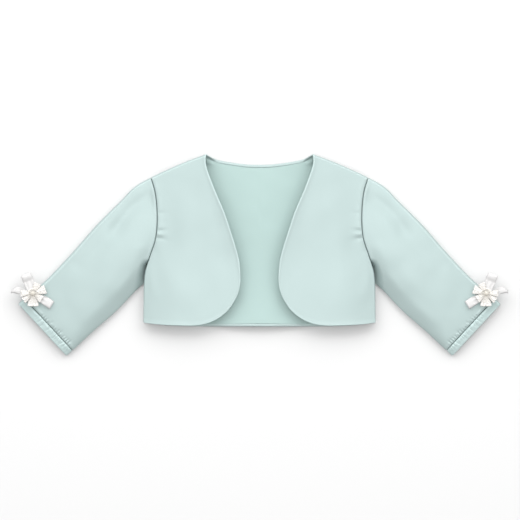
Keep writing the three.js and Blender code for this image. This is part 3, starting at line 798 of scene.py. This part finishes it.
# Soft folds of the lining, the same on both sides
LINING_FOLDS = [
    {"start": (8, 92), "end": (14, -40), "width": 16, "rise": 0.25, "bow": 5},
    {"start": (40, 96), "end": (18, 40), "width": 9, "rise": -0.25, "bow": -3},
    {"start": (24, -30), "end": (6, -74), "width": 9, "rise": 0.3, "bow": 3},
]
LINING_RIPPLES = {"seed": 5, "size": 0.3}

# Creases in back and lining alike, pressed up from the table, on both sides of the centre line
BACK_CREASES = [
    {"start": (104, 66), "end": (86, -12), "width": 8, "rise": 1, "bow": 4},
    {"start": (72, -14), "end": (96, -64), "width": 7, "rise": 0.8, "bow": -3},
    {"start": (34, 78), "end": (22, 20), "width": 11, "rise": 0.35, "bow": 3},
    {"start": (118, 30), "end": (126, -30), "width": 5, "rise": 0.6, "bow": 1},
    {"start": (-92, 74), "end": (-106, 6), "width": 7, "rise": 0.8, "bow": -3},
    {"start": (-66, 20), "end": (-88, -50), "width": 9, "rise": 1.1, "bow": 5},
    {"start": (-20, -6), "end": (-34, -56), "width": 10, "rise": 0.35, "bow": -2},
    {"start": (-116, -20), "end": (-108, -68), "width": 6, "rise": 0.6, "bow": 2},
]

# How steeply folds and creases set in from the side, and from neck and hem
BACK_FADE = {"side": 6, "ends": 8}
BACK_GRADED = 0.8


def back_points(plan_of, height, lining):
    """Points of the lining, which has soft folds, or of the back, which has a band along neck and hem."""

    def place(u, v):
        out, side = half_shares(u)
        plan = plan_of(out, graded(v, BACK_GRADED))
        soft = ease((1 - out) * BACK_FADE["side"])
        soft *= ease(v * BACK_FADE["ends"]) * ease((1 - v) * BACK_FADE["ends"])
        z = height + neck_lift(plan) + folds(NECK_SEAM, plan)
        z += folds(BACK_CREASES, plan * side_ways(side)) * soft
        far_up = (plan[:, 1] - HEM_UP) / HEM_LIFT["run"]
        z += HEM_LIFT["rise"] * ease(1 - plan[:, 0] / HEM_LIFT["half"]) * (1 - np.clip(far_up, 0, 1)) ** 2
        if lining:
            z += (folds(LINING_FOLDS, plan) + ripples(plan * side[:, None], **LINING_RIPPLES)) * soft
        else:
            for line in (plan_of(out, 0 * v), plan_of(out, 0 * v + 1)):
                inside = np.linalg.norm(plan - line, axis=1)
                band = ease(inside / EDGE_BAND["turn"])
                band -= ease((inside - EDGE_BAND["wide"]) / EDGE_BAND["fall"])
                z += EDGE_BAND["rise"] * band * ease((EDGE_BAND["until"] - out) * EDGE_BAND["steep"])
        plan = plan * side_ways(side)
        return np.column_stack([plan, z]), plan

    return place


def back():
    outside = back_plan(0, ARMHOLE_GAP, 0)
    bm = grid_of(*GRIDS["back"], back_points(outside, BACK_THICK, lining=False))
    piece = new_piece("back_cloth", bm, [SATIN, SATIN], "back")
    wall(piece, BACK_THICK, EDGE_ROUND["back"])
    inside = back_plan(LINING_SET_IN, LINING_SIDE_IN, LINING_SET_IN)
    bm = grid_of(*GRIDS["back"], back_points(inside, FOOT + LINING_THICK, lining=True))
    piece = new_piece("back_lining_cloth", bm, [LINING, LINING], "back_lining")
    wall(piece, LINING_THICK, EDGE_ROUND["lining"])


# Sleeves and cuffs


def smooth_through(places, values, x):
    """A smooth curve through values at places, taken at x."""
    slopes = np.gradient(values, places)
    i = int(np.clip(np.searchsorted(places, x) - 1, 0, len(places) - 2))
    run = places[i + 1] - places[i]
    t = (x - places[i]) / run
    level = mix(values[i], values[i + 1], t * t * (3 - 2 * t))
    return level + run * t * (1 - t) * (slopes[i] * (1 - t) - slopes[i + 1] * t)


def sleeve_sizes(share):
    """A sleeve's measures at a share of its length."""
    at = [row["at"] for row in SLEEVE_ROWS]
    measures = {key: [row[key] for row in SLEEVE_ROWS] for key in SLEEVE_ROWS[0]}
    return {key: float(smooth_through(at, values, share)) for key, values in measures.items()}


def section(width, size, top_steps=160, corner_steps=9):
    """A line round a sleeve, across and up: over the top from the upper edge, and back on the table."""

    def top(x):
        share = x / width
        fall = size["fall"] * (np.maximum(share - RIDGE_AT, 0) / (1 - RIDGE_AT)) ** 2
        full = soft_round(x / size["upper_round"]) * settle(x / UPPER_FALL["run"], UPPER_FALL["level"])
        full *= soft_round((width - x) / size["lower_round"])
        return size["widest"] + (size["height"] - size["widest"]) * full * (1 - fall)

    across = width * (1 - np.cos(np.linspace(0, math.pi, top_steps))) / 2
    over = np.column_stack([across, top(across)])
    angle = np.linspace(0, math.pi / 2, corner_steps)[1:]
    turn = np.column_stack([size["corner_in"] * (1 - np.cos(angle)), size["widest"] * (1 - np.sin(angle))])
    far = np.column_stack([width - turn[:, 0], turn[:, 1]])
    return np.vstack([over, far, turn[::-1], over[:1]])


sleeve_plan = patch(
    lambda s: body_edge(np.asarray(s) * armhole_share) + (ARMHOLE_GAP, 0),
    lambda t: upper_lane(t) + (ARMHOLE_GAP, 0),
    lambda s: cuff_seam(s) + (ARMHOLE_GAP, 0),
    lambda t: lower_lane(t) + (ARMHOLE_GAP, 0),
)


def width_of(plan, share, steps=41):
    p = plan(np.linspace(0, 1, steps), np.full(steps, share))
    return np.linalg.norm(np.diff(p, axis=0), axis=1).sum()


def tube_points(plan, sizes, dips, relief, around, rows):
    """Points of a cloth tube. dips turn its two ends in, and relief raises or lowers its cloth."""
    shares = graded(np.linspace(0, 1, rows + 1))
    ring_at = np.linspace(0, 1, around + 1)
    ring_at = ring_at - RING_CLOSER * np.sin(4 * math.pi * ring_at) / (4 * math.pi)
    x, z, inward, lengths = [], [], [], []
    for share in shares:
        width = width_of(plan, share)
        ring = follow(section(width, sizes(share)))
        p = ring(ring_at)
        along = np.gradient(p, axis=0)
        along[0] = along[-1] = along[0] + along[-1]
        along /= np.maximum(np.linalg.norm(along, axis=1), TINY)[:, None]
        x.append(p[:, 0] / width)
        z.append(p[:, 1])
        inward.append(np.column_stack([along[:, 1] / width, -along[:, 0]]))
        lengths.append(ring.length)
    x, z, inward = np.array(x), np.array(z), np.array(inward)
    down = np.repeat(shares[:, None], around + 1, axis=1)
    spot = plan(x, down)
    start = np.linalg.norm(spot - plan(x, np.zeros_like(down)), axis=2)
    end = np.linalg.norm(spot - plan(x, np.ones_like(down)), axis=2)
    turn_in = dip(start, dips[0]) + dip(end, dips[1])
    seam = bell(z - SEAM_LINE["up"], SEAM_LINE["width"]) * (x > SEAM_LINE["past"])
    turn_in = turn_in + SEAM_LINE["deep"] * seam
    x = x + inward[..., 0] * turn_in
    z = z + inward[..., 1] * turn_in
    spot = plan(x, down)
    z = z + relief(spot, z, start, end)
    points = np.dstack([spot, z])
    flat = np.dstack([ring_at[None, :] * np.array(lengths)[:, None], start + 0 * z])

    def place(u, v):
        i = np.rint(v * rows).astype(int)
        k = np.rint(u * around).astype(int)
        return points[i, k], flat[i, k]

    return place


# Along the cuff seam, and square to it out of the sleeve
seam_way = (cuff_seam(1) - cuff_seam(0)) / cuff_seam.length
sleeve_way = np.array([-seam_way[1], seam_way[0]])


def sleeve_relief(side):
    """The folds, gathers and hollows of a sleeve, as a rise over its plain tube."""
    seam = cuff_seam(np.linspace(GATHERS["first"], GATHERS["last"], GATHERS["count"]))
    random = np.random.default_rng(GATHERS["seed"])
    aside, bow = GATHERS["aside"], GATHERS["bow"]
    gathers = [
        {
            "start": tuple(p - sleeve_way * GATHERS["off"] + seam_way * random.uniform(-aside, aside)),
            "end": tuple(p - sleeve_way * GATHERS["long"] * random.uniform(*GATHERS["longer"])),
            "width": GATHERS["width"] * random.uniform(*GATHERS["wider"]),
            "rise": -GATHERS["deep"] * random.uniform(*GATHERS["deeper"]),
            "bow": random.uniform(-bow, bow),
            "fade": GATHERS["fade"],
        }
        for p in seam
    ]

    def relief(spot, z, start, end):
        on_top = ease(z / SLEEVE_FADE["top"])
        on_table = 1 - ease(z / SLEEVE_FADE["beneath"])
        from_start, from_end = ease(start / SLEEVE_FADE["ends"]), ease(end / SLEEVE_FADE["ends"])
        soft = folds(SLEEVE_FOLDS, spot) * from_start
        soft += ripples(spot * (side, 1), **SLEEVE_RIPPLES) * from_start * from_end
        puff = SEAM_PUFF["rise"] * bell(start - SEAM_PUFF["at"], SEAM_PUFF["width"])
        lip = SLEEVE_LIP["rise"] * bell(end - SLEEVE_LIP["at"], SLEEVE_LIP["width"])
        hollow = (1 - np.clip(start / UNDERARM_HOLLOW["run"], 0, 1)) ** UNDERARM_HOLLOW["power"]
        hollow *= ease((UNDERARM_HOLLOW["below"] - spot[..., 1]) / UNDERARM_HOLLOW["fade"])
        hollow *= np.maximum(z - UNDERARM_HOLLOW["low"], 0)
        beneath = folds(SLEEVE_UNDER_FOLDS, spot * (side, 1)) * on_table * from_start * from_end
        return (soft + puff + lip + folds(gathers, spot)) * on_top - hollow + beneath

    return relief


def sleeve(name, side):
    dips = (SEAM_DIP, SLEEVE_END_DIP)
    place = tube_points(sleeve_plan, sleeve_sizes, dips, sleeve_relief(side), *GRIDS["sleeve"])
    bm = grid_of(*GRIDS["sleeve"], place, side, closed=True)
    piece = new_piece(f"sleeve_{name}_cloth", bm, [SATIN, LINING], f"sleeve_{name}")
    wall(piece, SLEEVE_WALL)


def cuff_plan(across, share):
    """Plan points of the cuff, which is a little narrower than the sleeve's end."""
    across, share = np.asarray(across, float), np.asarray(share, float)
    narrower = seam_way * ((0.5 - across) * CUFF_NARROWER)[..., None]
    out = sleeve_way * (SEAM_GAP + share * (CUFF_WIDE - SEAM_GAP))[..., None]
    return cuff_seam(across) + (ARMHOLE_GAP, 0) + narrower + out


def cuff_ticks():
    random = np.random.default_rng(CUFF_TICKS["seed"])
    aside, slant, bow = CUFF_TICKS["aside"], CUFF_TICKS["slant"], CUFF_TICKS["bow"]
    ticks = []
    for share in np.linspace(CUFF_TICKS["first"], CUFF_TICKS["last"], CUFF_TICKS["count"]):
        share += random.uniform(-aside, aside)
        far = random.uniform(*CUFF_TICKS["far"])
        ticks.append(
            {
                "start": tuple(cuff_plan(share, CUFF_TICKS["near"])),
                "end": tuple(cuff_plan(share + random.uniform(-slant, slant), far)),
                "width": random.uniform(*CUFF_TICKS["width"]),
                "rise": -random.uniform(*CUFF_TICKS["deep"]),
                "bow": random.uniform(-bow, bow),
            }
        )
    return ticks


def cuff(name, side):
    ticks = cuff_ticks()
    size = sleeve_sizes(1)
    size["height"] -= CUFF_LOWER

    def relief(spot, z, start, end):
        wave = ripples(spot * (side, 1), **CUFF_RIPPLES) + folds(ticks, spot)
        wave *= ease(start / CUFF_FADE["ends"]) * ease(end / CUFF_FADE["ends"])
        belly = CUFF_BELLY["rise"] * bell(start - CUFF_BELLY["at"], CUFF_BELLY["width"])
        fall = CUFF_FALL["deep"] * ease((start - CUFF_FALL["from"]) / (CUFF_WIDE - CUFF_FALL["from"]))
        return (wave + belly - fall) * ease(z / CUFF_FADE["top"])

    place = tube_points(cuff_plan, lambda share: size, (CUFF_DIP, CUFF_END_DIP), relief, *GRIDS["cuff"])
    bm = grid_of(*GRIDS["cuff"], place, side, closed=True)
    piece = new_piece(f"cuff_{name}_cloth", bm, [CUFF_SATIN_LIGHTENED, LINING], f"cuff_{name}")
    wall(piece, CUFF_WALL, EDGE_ROUND["cuff"])


# Flowers


def petal_radius(degrees):
    """The flower's radius at an angle, squared off at each petal's end and notched between petals.

    Gives the share of the way from a petal's middle to its side too.
    """
    off = [np.abs((degrees - petal["turn"] + 540) % 360 - 180) / petal["half"] for petal in PETALS]
    nearest = np.argmin(off, axis=0)
    share = np.clip(np.min(off, axis=0), 0, 1)
    reach = np.array([petal["reach"] for petal in PETALS])[nearest]
    dent = PETAL_TIP["dent"] * bell(share, PETAL_TIP["width"])
    uneven = PETAL_TIP["uneven"] * np.cos(degrees * PETAL_TIP["turns"])
    tip = reach * (1 + PETAL_TIP["corners"] * share**2 - dent - uneven)
    at_side = ease((share - PETAL_NOTCH["from"]) / PETAL_NOTCH["run"])
    return mix(tip, PETAL_NOTCH["radius"], at_side), share


def round_flower(radius, turn):
    """Places across and up at a radius and angle round the flower's middle."""
    return FLOWER["out"] - radius * np.cos(turn), FLOWER["up"] + radius * np.sin(turn)


def flower_points(u, v):
    """Points of the lace flower's top: u runs round it, and v from its middle out."""
    degrees = u * 360
    reach, share = petal_radius(degrees)
    out = mix(FLOWER["middle"], 1, v)
    radius = reach * out
    turn = np.radians(degrees)
    z = PETAL_UNDERSIDE + FLOWER["thick"] + FLOWER["dome"] * np.sin(out * math.pi) - FLOWER["lower"]
    z += LACE_RIM["rise"] * bell((1 - out) * reach - LACE_RIM["in"], LACE_RIM["width"])
    veins = LACE_VEINS["rise"] * np.cos(turn * LACE_VEINS["count"])
    veins *= ease((radius - LACE_VEINS["beyond"]) / LACE_VEINS["fade"])
    z += veins * ease((LACE_VEINS["until"] - out) * LACE_VEINS["steep"])
    ridge = PETAL_RIDGE["rise"] * bell(share, PETAL_RIDGE["width"])
    z += ridge * ease((out - PETAL_RIDGE["from"]) * PETAL_RIDGE["steep"])
    gap = PETAL_GAP["deep"] * ease((share - PETAL_GAP["from"]) / PETAL_GAP["run"])
    z -= gap * ease((radius - PETAL_GAP["beyond"]) / PETAL_GAP["fade"])
    z += LACE_RING["rise"] * bell(radius - LACE_RING["at"], LACE_RING["width"])
    z -= LACE_HOLLOW["deep"] * bell(radius - LACE_HOLLOW["at"], LACE_HOLLOW["width"])
    x, y = round_flower(radius, turn)
    flat = np.column_stack([radius * np.cos(turn), radius * np.sin(turn)])
    return np.column_stack([x, y, z]), flat


def hub_points(u, v):
    """Points of the gathered ribbon under the flower: u runs round it, and v down."""
    turn = u * 2 * math.pi
    gathered = 1 - np.cos(turn * HUB["gathers"]) * np.sin(v * math.pi)
    radius = HUB["radius"] * (1 - HUB["deep"] * gathered)
    z = mix(PETAL_UNDERSIDE + HUB["above"], HUB["bottom"], v)
    x, y = round_flower(radius, turn)
    return np.column_stack([x, y, z]), np.column_stack([radius * turn, z])


def flower(name, side):
    bm = grid_of(*GRIDS["petals"], flower_points, side, closed=True)
    lace = new_piece(f"flower_{name}_lace", bm, [LACE, LACE], f"flower_{name}")
    wall(lace, FLOWER["wall"])
    bm = grid_of(*GRIDS["knot"], hub_points, side, closed=True)
    knot = new_piece(f"flower_{name}_knot", bm, [RIBBON, RIBBON], None)
    wall(knot, HUB["wall"])


def bead(name, side):
    bm = bmesh.new()
    around, rings = GRIDS["pearl"]
    bmesh.ops.create_uvsphere(bm, u_segments=around, v_segments=rings, radius=PEARL_RADIUS * MM)
    height = PETAL_UNDERSIDE + FLOWER["thick"] + FLOWER["dome"] + SEAM_GAP + PEARL_RADIUS
    place = Vector((side * FLOWER["out"], FLOWER["up"] + SHIFT_UP, height)) * MM
    for v in bm.verts:
        to_pole = abs(v.co.z) / (PEARL_RADIUS * MM)
        v.co.z *= 1 - PEARL_HOLE["deep"] * max(0, (to_pole - PEARL_HOLE["from"]) / (1 - PEARL_HOLE["from"]))
    lie = Vector((0, 0, 1)).rotation_difference(PEARL_HOLE["way"]).to_matrix()
    bmesh.ops.rotate(bm, verts=bm.verts, matrix=lie)
    bmesh.ops.translate(bm, verts=bm.verts, vec=place)
    new_piece(f"pearl_{name}_bead", bm, [PEARL], f"pearl_{name}")


# Ribbon loops


def loop_points(loop, steps=60):
    """Points of a ribbon loop, with a mask for painted shade along its edges: u runs round the loop, out on
    top and back beneath, and v across it.
    """

    def half_thick(r, end):
        body = mix(BOW_NEAR, loop["tip"], ease((r - FLOWER["radius"]) / BOW_SWELL))
        return body * quarter_round((end - r) / loop["tip"])

    end = loop["reach"]
    r = BOW_START + (end - BOW_START) * np.sin(np.linspace(0, math.pi / 2, steps))
    top = np.column_stack([r, half_thick(r, end)])
    ring = follow(np.vstack([top, (top * (1, -1))[::-1], top[:1]]))

    def place(u, v):
        p = ring(u)
        across = 2 * v - 1
        r, z = p[:, 0], p[:, 1]
        share = (r - BOW_START) / (end - BOW_START)
        to_end = ease((share - BOW_WIDEST) / (1 - BOW_WIDEST))
        half = mix(mix(loop["near"], loop["wide"], ease(share / BOW_WIDEST)), loop["end"], to_end) / 2
        beyond = ease((r - FLOWER["radius"] + BOW_CURL["before"]) / BOW_RISE)
        curl = BOW_CURL["deep"] * np.abs(across) ** BOW_CURL["power"] * np.sign(z) * ease(np.abs(z)) * beyond
        gather = BOW_GATHERS["rise"] * np.sin(across * BOW_GATHERS["waves"] + BOW_GATHERS["first"])
        gather *= ease((BOW_GATHERS["until"] - share) * BOW_GATHERS["fall"])
        gather *= ease(share * BOW_GATHERS["start"])
        height = BOW_MIDDLE + z + loop["rise"] * ease((r - FLOWER["radius"]) / BOW_RISE) - curl + gather
        turn = math.radians(loop["turn"])
        sway = loop["sway"] * np.sin(math.pi * np.clip(share, 0, 1) ** BOW_SWAY_POWER)
        side_step = across * half + sway
        x = FLOWER["out"] - (r * math.cos(turn) - side_step * math.sin(turn))
        y = FLOWER["up"] + r * math.sin(turn) + side_step * math.cos(turn)
        # A mask for painted shade along the ribbon's two edges
        painted_edge_shade = bell((1 - np.abs(across)) * half, PAINTED_EDGE_SHADE_WIDTH)
        return np.column_stack([x, y, height]), np.column_stack([side_step, u * ring.length]), painted_edge_shade

    return place, ring.length


def bow(name, side):
    for loop in BOW_LOOPS:
        place, length = loop_points(loop)
        node = f"{loop['name']}_{name}"
        bm = grid_of(*GRIDS["ribbon"], place, side, closed=True)
        piece = new_piece(f"{node}_ribbon", bm, [RIBBON, RIBBON], node)
        wall(piece, RIBBON_WALL)


# Table, lights and camera


TABLE = {"half": 8, "grey": (0.56, 0.56, 0.56, 1), "rough": 0.9, "gloss": 0.1}


def stage():
    bm = bmesh.new()
    bmesh.ops.create_grid(bm, x_segments=1, y_segments=1, size=TABLE["half"])
    mesh = bpy.data.meshes.new("table")
    bm.to_mesh(mesh)
    bm.free()
    table = bpy.data.objects.new("table", mesh)
    bpy.context.scene.collection.objects.link(table)
    material, *_, shader = tree("table")
    shader.inputs["Base Color"].default_value = TABLE["grey"]
    shader.inputs["Roughness"].default_value = TABLE["rough"]
    shader.inputs["Specular IOR Level"].default_value = TABLE["gloss"]
    mesh.materials.append(material)


def area_light(name, place, across, deep, power):
    data = bpy.data.lights.new(name, "AREA")
    data.shape = "RECTANGLE"
    data.size = across
    data.size_y = deep
    data.energy = power
    light = bpy.data.objects.new(name, data)
    light.location = place
    light.rotation_euler = (-Vector(place)).to_track_quat("-Z", "Y").to_euler()
    bpy.context.scene.collection.objects.link(light)


# In metres, apart from the sensor, which is in millimetres
CAMERA = {"x": 0.0006, "y": -0.006, "away": 5.2, "across": 0.624, "sensor": 36, "sees": 50}


def camera():
    data = bpy.data.cameras.new("camera")
    data.sensor_width = CAMERA["sensor"]
    data.lens = CAMERA["sensor"] * CAMERA["away"] / CAMERA["across"]
    data.clip_end = CAMERA["sees"]
    seen = bpy.data.objects.new("camera", data)
    seen.location = (CAMERA["x"], CAMERA["y"], CAMERA["away"])
    bpy.context.scene.collection.objects.link(seen)
    bpy.context.scene.camera = seen


# Lights, in metres and watts: one at each side behind the neck, a broad one between, and one overhead
SIDE_LIGHT = {"across": 2.4, "deep": 1.5, "power": 22}
SIDE_LIGHT_PLACE = {"out": 1.3, "up": 1.3, "high": 1.3}
MIDDLE_LIGHT = {"place": (0, 1.95, 1.2), "across": 4.8, "deep": 1.9, "power": 60}
OVERHEAD_LIGHT = {"place": (0, 0.05, 2.6), "across": 0.75, "deep": 0.66, "power": 15}
ROOM_LIGHT = {"colour": (1, 1, 1, 1), "strength": 0.92}


def lights():
    for name, side in SIDES.items():
        place = (side * SIDE_LIGHT_PLACE["out"], SIDE_LIGHT_PLACE["up"], SIDE_LIGHT_PLACE["high"])
        area_light(f"key {name}", place, **SIDE_LIGHT)
    area_light("key middle", **MIDDLE_LIGHT)
    area_light("overhead", **OVERHEAD_LIGHT)
    world = bpy.data.worlds.new("studio")
    world.use_nodes = True
    background = world.node_tree.nodes["Background"]
    background.inputs["Color"].default_value = ROOM_LIGHT["colour"]
    background.inputs["Strength"].default_value = ROOM_LIGHT["strength"]
    bpy.context.scene.world = world
    bpy.context.scene.view_settings.view_transform = "Standard"


stage()
lights()
camera()
back()
for label, turned in SIDES.items():
    front(label, turned)
    sleeve(label, turned)
    cuff(label, turned)
    flower(label, turned)
    bead(label, turned)
    bow(label, turned)
